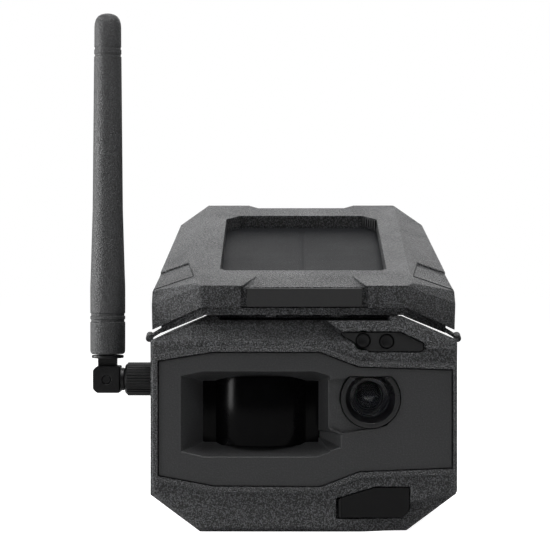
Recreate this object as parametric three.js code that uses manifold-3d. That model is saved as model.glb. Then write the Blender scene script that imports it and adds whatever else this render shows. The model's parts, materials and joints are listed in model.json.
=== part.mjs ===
// Cellular trail camera: a faceted plastic body with a wide sensor window and a lens on its front, a tilted
// solar head hinged over its card bay, and a whip antenna on a swivel elbow at its left side.
// Millimetres, +Z up, front towards -Y, +X to the right. The origin is the middle of the flat base.
import * as THREE from 'three';
import { ConvexGeometry } from 'three/addons/geometries/ConvexGeometry.js';
import { mergeVertices } from 'three/addons/utils/BufferGeometryUtils.js';
import Module from 'manifold-3d';

const wasm = await Module();
wasm.setup();

// Driving dimensions.
const GAP = 0.3;
const BODY_OUTLINE = [
  [-33.8, 0], [33.8, 0], [50, 12], [50, 62.5], [31.9, 70.3], [-31.9, 70.3], [-50, 62.5], [-50, 12],
];
const BODY = { front: -49.4, back: 50, split: -38, wall: 2.8, chamfer: 1.2 };
const RIM = { front: -50, width: 2.2 };
const BEZEL = { front: -49, back: -46.3 };
const BEZEL_OUTLINE = [
  [-47.5, 18.3], [-29.3, 14.95], [5.5, 14.8], [18, 19.6], [48.5, 20.85],
  [48.5, 52.7], [17.9, 53.65], [5.3, 58.45], [-29.6, 58.45], [-47.5, 55.6],
];
const WINDOW = { x: -14.2, z: 38.5, height: 19.4, radius: 20, wall: 1.6, front: -46, flange: -38.4 };
const LENS = { x: 21.8, z: 43.5, ring: 9.7, flat: 6.9 };
const BUTTONS = { power: [19.5, 62.4], test: [27.2, 62.1], radius: 2.2, panel: -48.2 };
const PANEL_OUTLINE = [
  [12.6, 64.2], [21.8, 58.8], [38.3, 58.8], [39.3, 59.6], [39.2, 61.4], [31.5, 65.1], [12.6, 65.1],
];
const PORT = { hinge: [12.3, -48.4], barrel: 1.1 };
const HEAD = {
  tilt: Math.atan(0.303), edge: [0, -50, 80.4], length: 104.2, ridge: 35.7, outer: 50.5,
  slope: 0.397, underside: -7.75, eaves: -18.1,
};
const BASE_PLATE = { top: -8.1, bottom: -10.6, flat: 32.5, half: 47.5, outerTop: -16.7, outerBottom: -19.1 };
const SOLAR = { half: 28, front: 17.65, back: 88.6, floor: -3.8 };
const NECK = { half: 29, front: -34, back: 44, rim: -11.3, wall: 3.5 };
const HINGE = { y: 47.2, z: 96.8, barrel: 2.8, pin: 1.1, knuckle: 9 };
const ANTENNA = { x: -66.1, y: -30, z: 48.7, tip: 172.3 };
const NUT = { inner: -50.4, outer: -60, radius: 5.7, flutes: 28, bore: 3.45 };
const INSERT = { radius: 4.8, bore: 3.05, length: 9.8, y: 14, backZ: 35 };
const BODY_SCREWS = [[-41.5, 13], [41.5, 13], [-42, 56.5], [42, 56.5]];
const HEAD_SCREWS = [[-30, 8], [30, 8], [-30, 96.5], [30, 96.5]];
const ROUND = 32;
const FINE = 40;

// Materials.
const plastic = (color, roughness) => new THREE.MeshStandardMaterial({ color, roughness, metalness: 0 });
const metal = (color, roughness) => new THREE.MeshStandardMaterial({ color, roughness, metalness: 1 });
const TEXTURED = plastic(0x242526, 0.75);
const SATIN = plastic(0x1c1d1e, 0.5);
const RUBBER = plastic(0x2a2b2c, 0.85);
const DARK_WINDOW = plastic(0x050506, 0.08);
const GLASS = plastic(0x10141c, 0.05);
const SOLAR_CELL = plastic(0x12151c, 0.3);
const BOARD = plastic(0x1d5a34, 0.5);
const COMPONENT = plastic(0x303236, 0.5);
const BATTERY = plastic(0x3a5f8f, 0.6);
const STEEL = metal(0xb0b2b5, 0.35);
const BRASS = metal(0xc0a060, 0.35);

// Solids.
function toSolid(geometry) {
  const bare = geometry.index ? geometry.toNonIndexed() : geometry.clone();
  bare.deleteAttribute('normal');
  bare.deleteAttribute('uv');
  const merged = mergeVertices(bare, 1e-4);
  const vertProperties = new Float32Array(merged.attributes.position.array);
  const triVerts = new Uint32Array(merged.index.array);
  return new wasm.Manifold(new wasm.Mesh({ numProp: 3, vertProperties, triVerts }));
}

function toGeometry(solid) {
  const { vertProperties, triVerts } = solid.getMesh();
  const geometry = new THREE.BufferGeometry();
  geometry.setAttribute('position', new THREE.BufferAttribute(new Float32Array(vertProperties), 3));
  geometry.setIndex([...triVerts]);
  geometry.computeVertexNormals();
  return geometry;
}

const cut = (solid, ...tools) => tools.reduce((rest, tool) => rest.subtract(tool), solid);
const join = (solid, ...others) => others.reduce((whole, other) => whole.add(other), solid);
const common = (solid, other) => solid.intersect(other);

function extruded(points, from, to, matrix) {
  const shape = new THREE.Shape(points.map(([u, v]) => new THREE.Vector2(u, v)));
  const geometry = new THREE.ExtrudeGeometry(shape, { depth: to - from, bevelEnabled: false });
  geometry.translate(0, 0, from);
  return toSolid(geometry.applyMatrix4(matrix));
}

const AXIS_X = new THREE.Vector3(1, 0, 0);
const AXIS_Y = new THREE.Vector3(0, 1, 0);
const AXIS_Z = new THREE.Vector3(0, 0, 1);
const ALONG_X = new THREE.Matrix4().makeBasis(AXIS_Y, AXIS_Z, AXIS_X);
const ALONG_Y = new THREE.Matrix4().makeBasis(AXIS_X, AXIS_Z, AXIS_Y.clone().negate());
const ALONG_Z = new THREE.Matrix4();

const prismX = (pointsYZ, from, to) => extruded(pointsYZ, from, to, ALONG_X);
const prismY = (pointsXZ, from, to) => extruded(pointsXZ, -to, -from, ALONG_Y);
const prismZ = (pointsXY, from, to) => extruded(pointsXY, from, to, ALONG_Z);

function block([x0, x1], [y0, y1], [z0, z1]) {
  const geometry = new THREE.BoxGeometry(x1 - x0, y1 - y0, z1 - z0);
  return toSolid(geometry.translate((x0 + x1) / 2, (y0 + y1) / 2, (z0 + z1) / 2));
}

function circle([u, v], radius, sides = ROUND) {
  return Array.from({ length: sides }, (_, i) => {
    const angle = (i + 0.5) / sides * 2 * Math.PI;
    return [u + radius * Math.cos(angle), v + radius * Math.sin(angle)];
  });
}

const rodX = (centreYZ, radius, from, to, sides) => prismX(circle(centreYZ, radius, sides), from, to);
const rodY = (centreXZ, radius, from, to, sides) => prismY(circle(centreXZ, radius, sides), from, to);
const rodZ = (centreXY, radius, from, to, sides) => prismZ(circle(centreXY, radius, sides), from, to);

const hull = (points) => toSolid(new ConvexGeometry(points.map((p) => new THREE.Vector3(...p))));
const mirrored = (solid) => solid.mirror([1, 0, 0]);

// The half of space on the outer side of a plane, as a large block.
function beyond(point, normal) {
  const geometry = new THREE.BoxGeometry(300, 300, 150).translate(0, 0, 75);
  const turn = new THREE.Quaternion().setFromUnitVectors(AXIS_Z, normal.clone().normalize());
  return toSolid(geometry.applyQuaternion(turn).translate(point.x, point.y, point.z));
}

// A convex outline moved inwards by a distance, or outwards by a negative one.
function inset(points, distance) {
  const count = points.length;
  const edges = points.map(([x, y], i) => {
    const [nextX, nextY] = points[(i + 1) % count];
    const length = Math.hypot(nextX - x, nextY - y);
    const normal = [-(nextY - y) / length, (nextX - x) / length];
    return { normal, reach: normal[0] * x + normal[1] * y + distance };
  });
  return edges.map((edge, i) => {
    const last = edges[(i + count - 1) % count];
    const det = last.normal[0] * edge.normal[1] - last.normal[1] * edge.normal[0];
    return [
      (last.reach * edge.normal[1] - edge.reach * last.normal[1]) / det,
      (edge.reach * last.normal[0] - last.reach * edge.normal[0]) / det,
    ];
  });
}

// Polygons in the X-Z plane joined from one depth to another.
function flared(front, frontY, back, backY) {
  return hull([...front.map(([x, z]) => [x, frontY, z]), ...back.map(([x, z]) => [x, backY, z])]);
}

const root = new THREE.Group();
const headFrame = new THREE.Group();
headFrame.position.set(...HEAD.edge);
headFrame.rotation.x = HEAD.tilt;
headFrame.updateMatrixWorld();
root.add(headFrame);

function add(name, solid, material, parent = root) {
  const mesh = new THREE.Mesh(toGeometry(solid), material);
  mesh.name = name;
  parent.add(mesh);
}

const inWorld = (solid) => solid.transform(headFrame.matrixWorld.elements);

// Recess around the sensor window: outline at the front face, and where the window closes it.
const RECESS_FRONT = [
  [-40.2, 26.1], [-32.6, 24.3], [4.3, 24.3], [8.6, 25.9], [8.6, 50.8], [3.7, 52.3], [-33.2, 52.3], [-40.2, 50.8],
];
const RECESS_BACK = [[-33.2, 28.5], [4.9, 28.5], [4.9, 48.5], [-33.2, 48.5]];
const RECESS_TOE = [[7.6, 26], [12.2, 27.4], [12.2, 31.6], [7.6, 33.6]];
const TOE_BACK = [[4.2, 30], [5.4, 30], [5.4, 32], [4.2, 32]];
const LENS_POCKET = [
  [8, 34], [12.8, 31.9], [27, 34.6], [30.5, 38.5], [31.8, 43.5], [30.5, 48.5], [28.5, 50.2], [14.6, 50.2], [8, 49.6],
];
const RECESS_DEPTH = -38.8;

function recessVoid() {
  const main = flared(RECESS_FRONT, BEZEL.front - 0.01, RECESS_BACK, RECESS_DEPTH + 0.01);
  const toe = flared(RECESS_TOE, BEZEL.front - 0.01, TOE_BACK, RECESS_DEPTH);
  return join(main, toe);
}

function frontFrame() {
  const rimOuter = inset(BEZEL_OUTLINE, -RIM.width);
  const topSlope = prismX([[-54, 56.9], [-38, 73.4], [-54, 73.4]], -60, 40);
  const leftOfPod = prismY([[-60, 40], [49.5, 40], [-1.4, 75], [-60, 75]], -60, 0);
  const lowerBevel = hull([
    [5.3, -50.1, 0.7], [11.2, -50.1, 4], [32.4, -50.1, 4.3], [39.3, -50.1, 10.1], [50.3, -50.1, 14.3],
    [5.3, -50.1, -1], [55, -50.1, -1], [55, -50.1, 14.3],
    [5.3, -49.2, -1], [34, -46.4, -0.3], [51, -46.4, 11.8], [55, -46.4, -1],
  ]);
  const { front, chamfer, split } = BODY;
  let frame = prismY(BODY_OUTLINE, front + chamfer, split);
  frame = join(frame, flared(inset(BODY_OUTLINE, chamfer), front, BODY_OUTLINE, front + chamfer + 0.01));
  const underPod = [
    [-51, 62.2], [19.1, 62.2], [21.9, 59], [38.6, 59], [40, 59.6], [51, 59.6], [51, 50], [-51, 50],
  ];
  frame = cut(frame, prismY(underPod, -51, -48.9), block([-28, 28], [-51, -37], [68.9, 72]));
  const rim = common(prismY(rimOuter, RIM.front, front + 1), prismY(inset(BODY_OUTLINE, 0.6), -51, -45));
  frame = join(frame, rim);
  frame = cut(frame, common(topSlope, leftOfPod), lowerBevel);
  frame = cut(frame, prismY(inset(BODY_OUTLINE, BODY.wall), -43.5, BODY.split + 1));
  for (const [x, z] of BODY_SCREWS) {
    frame = cut(join(frame, rodY([x, z], 4.4, -44, BODY.split, 16)), rodY([x, z], 1.6, -42.9, -30, 16));
  }
  frame = cut(frame, prismY(inset(BEZEL_OUTLINE, -GAP), -55, -46));
  frame = cut(frame, block([-41.4, 9.8], [-50, -40], [23, 53.6]), block([9, 14], [-50, -40], [24.8, 35]));
  frame = cut(frame, rodY([LENS.x, LENS.z], 10.4, -50, -40, FINE));
  frame = cut(frame, prismY(inset(PANEL_OUTLINE, -GAP), -55, -46.4));
  for (const spot of [BUTTONS.power, BUTTONS.test]) {
    frame = cut(frame, rodY(spot, 3.3, -50, -40, 20));
  }
  const pocket = [[10.5, 4.1], [32.4, 4.1], [34.8, 6.8], [34.8, 14.7], [23.2, 14.7], [10.5, 10.9]];
  return cut(frame, prismY(pocket, -55, -46.6), block([17.9, 27.3], [-50, -40], [5.9, 12.1]));
}

function frontBezel() {
  let plate = prismY(BEZEL_OUTLINE, BEZEL.front, BEZEL.back);
  plate = join(plate, flared(inset(RECESS_FRONT, -0.6), -46.4, inset(RECESS_BACK, -1.4), RECESS_DEPTH));
  plate = join(plate, flared(inset(RECESS_TOE, -1.2), -46.4, inset(TOE_BACK, -0.8), RECESS_DEPTH));
  plate = cut(plate, recessVoid());
  plate = cut(plate, prismY(LENS_POCKET, -50, BEZEL.front + 1.4));
  const aboveFlat = block([0, 50], [-51, -39], [LENS.z + LENS.flat + GAP, 70]);
  return cut(plate, cut(rodY([LENS.x, LENS.z], LENS.ring + GAP, -50, -40, FINE), aboveFlat));
}

function sensorWindow() {
  const { x, z, height, radius, wall, front, flange } = WINDOW;
  const centre = [x, front + radius];
  const tall = [z - height / 2, z + height / 2];
  const bore = rodZ(centre, radius - wall, tall[0] - 1, tall[1] + 1, 72);
  const shell = cut(rodZ(centre, radius, ...tall, 72), bore);
  const bulge = cut(shell, block([x - 30, x + 30], [flange + 0.5, 60], [0, 99]));
  const plate = block([-34.6, 6.3], [flange, flange + 1.5], [27.2, 49.8]);
  return join(bulge, cut(plate, block([x - 14.2, x + 14.2], [-50, -30], [tall[0], tall[1]])));
}

function lensPieces() {
  const { x, z, ring, flat } = LENS;
  const outer = common(rodY([x, z], ring, -49.8, -44.4, FINE), block([0, 60], [-60, 0], [0, z + flat]));
  const cone = flared(circle([x, z], 8.2, FINE), -49.9, circle([x, z], 6.6, FINE), -44.3);
  add('lens_hood_ring', cut(outer, cone), SATIN);
  add('lens_cover_glass', rodY([x, z], 7.4, -44.1, -43.3, FINE), GLASS);
  add('lens_barrel', cut(rodY([x, z], 7, -43, -35.6, FINE), rodY([x, z], 4.3, -44, -30, FINE)), SATIN);
  const dome = new THREE.SphereGeometry(6.2, 24, 12).translate(x, -36.6, z);
  add('lens_front_element', common(toSolid(dome), rodY([x, z], 4, -45, -38.4, FINE)), GLASS);
  add('image_sensor', block([x - 3.6, x + 3.6], [-35.3, -34.4], [z - 3.6, z + 3.6]), COMPONENT);
  add('camera_board', block([x - 11, x + 11], [-34.1, -32.9], [z - 11, z + 11]), BOARD);
}

function sensorPieces() {
  add('led_board', block([-32, 3.6], [-35.4, -34.2], [27.5, 49.5]), BOARD);
  add('pir_sensor', rodY([WINDOW.x, WINDOW.z], 4.6, -40.4, -35.7, 24), STEEL);
  let count = 0;
  for (const dx of [-9, 9]) {
    for (const dz of [-5, 5]) {
      count += 1;
      add(`ir_led_${count}`, rodY([WINDOW.x + dx, WINDOW.z + dz], 2.5, -39.6, -35.7, 20), GLASS);
    }
  }
}

function buttonPieces() {
  const holes = [BUTTONS.power, BUTTONS.test];
  let panel = prismY(PANEL_OUTLINE, BUTTONS.panel, -46.7);
  for (const spot of holes) {
    panel = cut(panel, rodY(spot, BUTTONS.radius + GAP, -50, -40, 24));
  }
  add('button_panel', panel, SATIN);
  ['power_button', 'test_button'].forEach((name, i) => {
    const cap = join(rodY(holes[i], BUTTONS.radius, -48.6, -46.2, 24), rodY(holes[i], 2.9, -46.35, -45.6, 24));
    add(name, cap, RUBBER);
    const [x, z] = holes[i];
    add(`button_switch_${i + 1}`, block([x - 2, x + 2], [-44.4, -42.4], [z - 2, z + 2]), COMPONENT);
  });
  add('button_board', block([14, 34], [-42.1, -40.9], [58.5, 65.6]), BOARD);
}

function portPieces() {
  const [hingeX, hingeY] = PORT.hinge;
  const leaf = prismY([[12.3, 4.6], [32.2, 4.6], [34.4, 7], [34.4, 14.3], [23.3, 14.3], [12.3, 11]], -49.5, -48.1);
  const barrel = rodZ(PORT.hinge, PORT.barrel, 4.6, 10.5, 16);
  const plug = block([18.7, 26.5], [-48.2, -47.1], [6.7, 11.3]);
  const pinHole = rodZ(PORT.hinge, 0.65, 0, 20, 12);
  add('port_flap', cut(join(leaf, barrel, plug), pinHole), RUBBER);
  add('port_flap_pin', rodZ([hingeX, hingeY], 0.35, 4.5, 10.6, 8), STEEL);
  const mouth = rodY([22.6, 9], 1.7, -47, -40, 20);
  add('port_socket', cut(block([18.2, 27], [-46.2, -37], [6.2, 11.8]), mouth), COMPONENT);
}

// A rectangular ring on the neck's sloping rim, in the head's frame: the insets of its two sides from the neck.
function neckRing(outer, inner, from, to) {
  const alongSlope = (y) => (y - HEAD.edge[1] + NECK.rim * Math.sin(HEAD.tilt)) / Math.cos(HEAD.tilt);
  const [low, high] = [alongSlope(NECK.front), alongSlope(NECK.back)];
  const { half } = NECK;
  return cut(
    block([outer - half, half - outer], [low + outer, high - outer], [from, to]),
    block([inner - half, half - inner], [low + inner, high - inner], [from - 1, to + 1]),
  );
}

function rearHousing() {
  const topAt = (y) => {
    const onRim = new THREE.Vector3(0, 0, NECK.rim).applyMatrix4(headFrame.matrixWorld);
    return onRim.z + Math.tan(HEAD.tilt) * (y - onRim.y);
  };
  const { half, front, back, wall } = NECK;
  let shell = prismY(BODY_OUTLINE, BODY.split + GAP, BODY.back);
  shell = join(shell, prismX([[front, 60], [back, 60], [back, topAt(back)], [front, topAt(front)]], -half, half));
  shell = cut(shell, prismY(inset(BODY_OUTLINE, BODY.wall), -40, BODY.back - 3.2));
  shell = cut(shell, block([wall - half, half - wall], [front + wall, back - wall], [60, 120]));
  shell = cut(shell, inWorld(neckRing(1.1, 2.5, NECK.rim - 1.3, NECK.rim + 1)));
  for (const [x, z] of BODY_SCREWS) {
    const column = common(rodY([x, z], 4.6, BODY.split + GAP, 49, 16), prismY(inset(BODY_OUTLINE, 1), -40, 60));
    shell = join(shell, column);
    shell = cut(shell, rodY([x, z], 3, -24, 60, 16), rodY([x, z], 1.6, -60, -20, 16));
  }
  const groove = cut(prismY(inset(BODY_OUTLINE, 0.6), -40, -36.4), prismY(inset(BODY_OUTLINE, 2.1), -41, -30));
  shell = cut(shell, groove);
  const bosses = join(rodZ([0, INSERT.y], 7.4, 1, 11.6, 24), rodY([0, INSERT.backZ], 7.4, 37.6, 49, 24));
  shell = cut(join(shell, bosses), rodZ([0, INSERT.y], 5.1, -1, 10.6, 24));
  shell = cut(shell, rodY([0, INSERT.backZ], 5.1, 39.2, 60, 24));
  shell = cut(shell, rodX([ANTENNA.y, ANTENNA.z], 3.5, -60, -40, 24));
  for (const [from, to] of [[-20, -HINGE.knuckle - 0.6], [HINGE.knuckle + 0.6, 20]]) {
    const barrel = circle([HINGE.y, HINGE.z], HINGE.barrel, 20);
    const foot = [[43, 88], [43, 94.5]];
    const knuckle = hull([from, to].flatMap((x) => [...barrel, ...foot].map(([y, z]) => [x, y, z])));
    shell = join(shell, knuckle);
  }
  return cut(shell, rodX([HINGE.y, HINGE.z], HINGE.pin + GAP, -30, 30, 16));
}

function gaskets() {
  const outline = (distance) => prismY(inset(BODY_OUTLINE, distance), -37.6, -36.7);
  const band = cut(outline(0.9), prismY(inset(BODY_OUTLINE, 1.8), -40, -30));
  add('body_gasket', band, RUBBER);
  add('neck_gasket', neckRing(1.4, 2.2, NECK.rim - 0.9, BASE_PLATE.bottom - 0.35), RUBBER, headFrame);
}

function threadedInserts() {
  const { radius, bore, length, y, backZ } = INSERT;
  const bottom = cut(rodZ([0, y], radius, 0.4, 0.4 + length, 24), rodZ([0, y], bore, -1, 20, 24));
  const back = cut(rodY([0, backZ], radius, 49.6 - length, 49.6, 24), rodY([0, backZ], bore, 30, 60, 24));
  add('bottom_insert', bottom, BRASS);
  add('back_insert', back, BRASS);
}

function bodyScrews() {
  BODY_SCREWS.forEach(([x, z], i) => {
    const screw = join(rodY([x, z], 2.6, -23.7, -21, 16), rodY([x, z], 1.3, -42.5, -23.5, 12));
    add(`body_screw_${i + 1}`, cut(screw, block([x - 1.6, x + 1.6], [-22, -20], [z - 0.4, z + 0.4])), STEEL);
  });
}

function electronics() {
  add('main_board', block([-35, 35], [-32.4, -30.8], [5.5, 56]), BOARD);
  add('cellular_modem', block([-31, -5], [-30.4, -27.6], [12, 40]), STEEL);
  add('battery_pack', block([-34, 34], [-9, 36], [13, 56]), BATTERY);
  add('card_board', block([-24, 24], [-28.5, -12], [59.5, 60.8]), BOARD);
  let socket = block([-20, 19], [-27, -14], [61.1, 66]);
  for (const [from, to] of [[-18.4, -3.6], [4.6, 17.4]]) {
    socket = cut(socket, block([from, to], [-21.6, -19.4], [62, 70]));
  }
  add('card_socket', socket, COMPONENT);
  add('sim_card', block([-18, -4], [-21.2, -19.8], [62.4, 72]), PLASTIC_WHITE);
  add('memory_card', block([5, 17], [-21.2, -19.8], [62.4, 73]), COMPONENT);
}

const PLASTIC_WHITE = plastic(0xd8d8d4, 0.5);

// The head's pieces stand in its own frame: X across, Y up its slope from the front edge, Z out of its top face.
const PLAN_HALF = [[33.7, 0], [50.5, 8], [50.5, 12.85], [45.4, 89.7], [35.4, 104.2]];
const HEAD_PLAN = [...PLAN_HALF, ...PLAN_HALF.map(([x, v]) => [-x, v]).reverse()];

function headShell() {
  const { ridge, outer, slope, underside, eaves, length } = HEAD;
  const edgeDrop = -slope * (outer - ridge);
  const section = [
    [-ridge, 0], [-outer, edgeDrop], [-outer, eaves], [-33.7, underside],
    [33.7, underside], [outer, eaves], [outer, edgeDrop], [ridge, 0],
  ];
  let shell = common(prismY(section, 0, length), prismZ(HEAD_PLAN, -30, 5));
  const toe = new THREE.Vector3(33.7, 0, 0);
  const lower = new THREE.Vector3(outer, 8, -8.8);
  const upper = new THREE.Vector3(outer, 12.85, edgeDrop);
  const band = beyond(toe, lower.sub(toe).cross(upper.sub(toe)));
  const sidePocket = hull([
    [39.3, 31.5, 3], [39.3, 31.5, -2.1], [52, 33, 3], [52, 33, -7.15],
    [36.5, 11.5, 3], [36.5, 11.5, -0.5], [52, 14, 3], [52, 14, -6.6],
  ]);
  const wingHollow = prismY([[35.5, -3], [44.5, -6.5], [44.5, -25], [35.5, -25]], 18, 60);
  for (const tool of [band, sidePocket, wingHollow]) {
    shell = cut(shell, tool, mirrored(tool));
  }
  const scoop = hull([
    [-15.5, 11.8, 0.1], [15.5, 11.8, 0.1], [-15.5, 11.8, 3], [15.5, 11.8, 3],
    [-20.4, -1, -1.3], [20.9, -1, -1.3], [-20.4, -1, 3], [20.9, -1, 3],
  ]);
  const plateRecess = block([-20.6, 21.1], [-1, 1.4], [-7.9, -0.55]);
  const { half, front, back } = SOLAR;
  const opening = [
    [2 - half, front], [half - 2, front], [half, front + 2], [half, back - 5],
    [half - 5, back], [5 - half, back], [-half, back - 5], [-half, front + 2],
  ];
  const backDip = hull([
    [-16.5, 105, -1.2], [16.5, 105, -1.2], [-21, 105, 0.1], [21, 105, 0.1], [-16.5, 97, 0.1], [16.5, 97, 0.1],
    [0, 97, 2], [0, 105, 2],
  ]);
  shell = cut(shell, scoop, plateRecess, backDip);
  shell = cut(shell, prismZ(opening, -20, 5), block([-31.3, 31.3], [14.4, 91.8], [-20, -5]));
  for (const [x, v] of HEAD_SCREWS) {
    shell = cut(shell, rodZ([x, v], 1.45, -20, -2.6, 16));
  }
  return shell;
}

function solarPieces() {
  const { half, front, back, floor } = SOLAR;
  const sheet = (margin, from, to) => prismZ([
    [2 - half + margin, front + margin], [half - 2 - margin, front + margin],
    [half - margin, front + 2 + margin], [half - margin, back - 5 - margin],
    [half - 5 - margin, back - margin], [5 - half + margin, back - margin],
    [margin - half, back - 5 - margin], [margin - half, front + 2 + margin],
  ], from, to);
  add('solar_cover', sheet(GAP, floor - 0.5, floor), GLASS, headFrame);
  const cells = sheet(1, floor - 1.1, floor - 0.8);
  add('solar_cell_left', common(cells, block([-40, -0.3], [0, 120], [-20, 5])), SOLAR_CELL, headFrame);
  add('solar_cell_right', common(cells, block([0.3, 40], [0, 120], [-20, 5])), SOLAR_CELL, headFrame);
  add('solar_backing', block([-31, 31], [14.7, 91.5], [floor - 2.6, floor - 1.4]), BOARD, headFrame);
  add('charge_board', block([36, 44], [20, 58], [-8, -6.9]), BOARD, headFrame);
}

function headBase() {
  const { top, bottom, flat, half, outerTop, outerBottom } = BASE_PLATE;
  const section = [
    [-33.6, top], [-half, outerTop], [-half, outerBottom], [-flat, bottom],
    [flat, bottom], [half, outerBottom], [half, outerTop], [33.6, top],
  ];
  const plan = inset(HEAD_PLAN, 1.2);
  let plate = common(prismY(section, 0, 101.5), prismZ(plan, -30, 5));
  const arm = circle([97.8, -12.5], HINGE.barrel, 20);
  const strip = [[96, bottom + 0.2], [100.4, bottom + 0.2]];
  const xs = [-HINGE.knuckle, HINGE.knuckle];
  plate = join(plate, hull(xs.flatMap((x) => [...arm, ...strip].map(([v, w]) => [x, v, w]))));
  const bead = rodY([51.4, -20.6], 1.25, 6.5, 10.5, 16);
  const lip = hull([7.2, 9.8].flatMap((v) => [
    [46.2, v, -16.9], [46.2, v, -17.9], [51.2, v, -20.0], [51.2, v, -21.1],
  ]));
  plate = join(plate, bead, lip, mirrored(bead), mirrored(lip));
  for (const x of [-10.7, 10.7]) {
    plate = join(plate, block([x - 1.6, x + 1.6], [1.4, 2.8], [-11.3, bottom + 0.3]));
  }
  for (const [x, v] of HEAD_SCREWS) {
    plate = cut(plate, rodZ([x, v], 1.5, -20, 0, 16), rodZ([x, v], 2.6, -20, bottom + 1.1, 16));
  }
  for (const x of [-20.4, 9.3]) {
    plate = cut(plate, rodX([97.8, -12.5], HINGE.barrel + 0.4, x, x + 11.1, 20));
  }
  return cut(plate, rodX([97.8, -12.5], HINGE.pin + GAP, -30, 30, 16));
}

function headPieces() {
  add('head_shell', headShell(), TEXTURED, headFrame);
  add('nameplate', block([-18.7, 19.2], [0.5, 1.1], [-7.45, -1.2]), SATIN, headFrame);
  solarPieces();
  add('head_base', headBase(), TEXTURED, headFrame);
  const { bottom } = BASE_PLATE;
  HEAD_SCREWS.forEach(([x, v], i) => {
    const screw = join(rodZ([x, v], 2.3, bottom, bottom + 0.8, 16), rodZ([x, v], 1.15, bottom + 0.4, -3, 12));
    add(`head_screw_${i + 1}`, screw, STEEL, headFrame);
  });
  add('hinge_pin', rodX([HINGE.y, HINGE.z], HINGE.pin, -19.6, 19.6, 16), STEEL);
}

function antennaPieces() {
  const { x, y, z, tip } = ANTENNA;
  const axle = [y, z];
  const jack = join(
    rodX(axle, 4.6, -46.8, -45.2, 6),
    rodX(axle, 3.1, -56, -45.3, 24),
    rodX(axle, 1.4, -45.3, -41, 12),
  );
  add('antenna_jack', jack, BRASS);
  const fluted = Array.from({ length: NUT.flutes * 2 }, (_, i) => {
    const angle = i / NUT.flutes * Math.PI;
    const radius = i % 2 ? NUT.radius : NUT.radius - 0.45;
    return [y + radius * Math.cos(angle), z + radius * Math.sin(angle)];
  });
  add('antenna_nut', cut(prismX(fluted, NUT.outer, NUT.inner), rodX(axle, NUT.bore, -70, -40, 24)), SATIN);

  const yokeOutline = [
    [-61.7, z - 4.5], [-61.7, z + 4.5], [-69.4, z + 4.5], [-70.7, z + 3.2], [-70.7, z - 3.2], [-69.4, z - 4.5],
  ].reverse();
  let yoke = prismY(yokeOutline, y - 4.5, y + 4.5);
  yoke = join(yoke, rodX(axle, 3.9, -61.9, -60.3, 24), rodX(axle, 3.1, -60.4, -56.4, 24));
  yoke = cut(yoke, block([-80, -62.6], [y - 1.85, y + 1.85], [z - 10, z + 10]));
  add('antenna_elbow', cut(yoke, rodY([x, z], 1.5, -60, 0, 16)), SATIN);
  add('elbow_pin', rodY([x, z], 1.1, y - 4.3, y + 4.3, 16), STEEL);

  const tongue = hull([y - 1.5, y + 1.5].flatMap((side) => [
    ...circle([x, z], 3.2, 20).map(([u, w]) => [u, side, w]),
    [x - 3.2, side, z + 7.4], [x + 3.2, side, z + 7.4],
  ]));
  const flange = rodZ([x, y], 5.4, z + 7.1, z + 8.1, ROUND);
  const core = rodZ([x, y], 2.3, z + 8, z + 21.5, 16);
  add('whip_base', cut(join(tongue, flange, core), rodY([x, z], 1.4, -60, 0, 16)), SATIN);

  const profile = [
    [2.7, z + 8.5], [5.6, z + 8.5], [5.9, z + 9.4], [5.9, z + 31.3], [5.05, z + 58], [4.55, tip - 8],
    [4.5, tip - 3.6], [3.7, tip - 1.5], [2.2, tip - 0.4], [0, tip], [0, tip - 8], [2.7, tip - 8],
  ].map(([r, h]) => new THREE.Vector2(r, h));
  const sleeve = new THREE.LatheGeometry([...profile, profile[0]], ROUND);
  sleeve.rotateX(Math.PI / 2).translate(x, y, 0);
  add('whip_sleeve', toSolid(sleeve), RUBBER);
  add('whip_element', rodZ([x, y], 1.6, z + 22, tip - 12, 12), BRASS);
}

add('front_frame', frontFrame(), TEXTURED);
add('front_bezel', frontBezel(), SATIN);
add('sensor_window', sensorWindow(), DARK_WINDOW);
lensPieces();
sensorPieces();
buttonPieces();
portPieces();
add('rear_housing', rearHousing(), TEXTURED);
gaskets();
threadedInserts();
bodyScrews();
electronics();
headPieces();
antennaPieces();

export default root;
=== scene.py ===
"""A cellular trail camera: faceted body, wide sensor window, deep lens, tilted solar head and whip antenna.

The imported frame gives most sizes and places. Each class below finishes one sub-assembly: it rounds the
moulded edges, builds the turned and repeated pieces, and dresses everything in its own finish.
"""

import json
import logging
import math
from dataclasses import dataclass
from enum import Enum
from typing import Callable, Sequence

import bmesh
import bpy
from mathutils import Matrix, Vector

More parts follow.
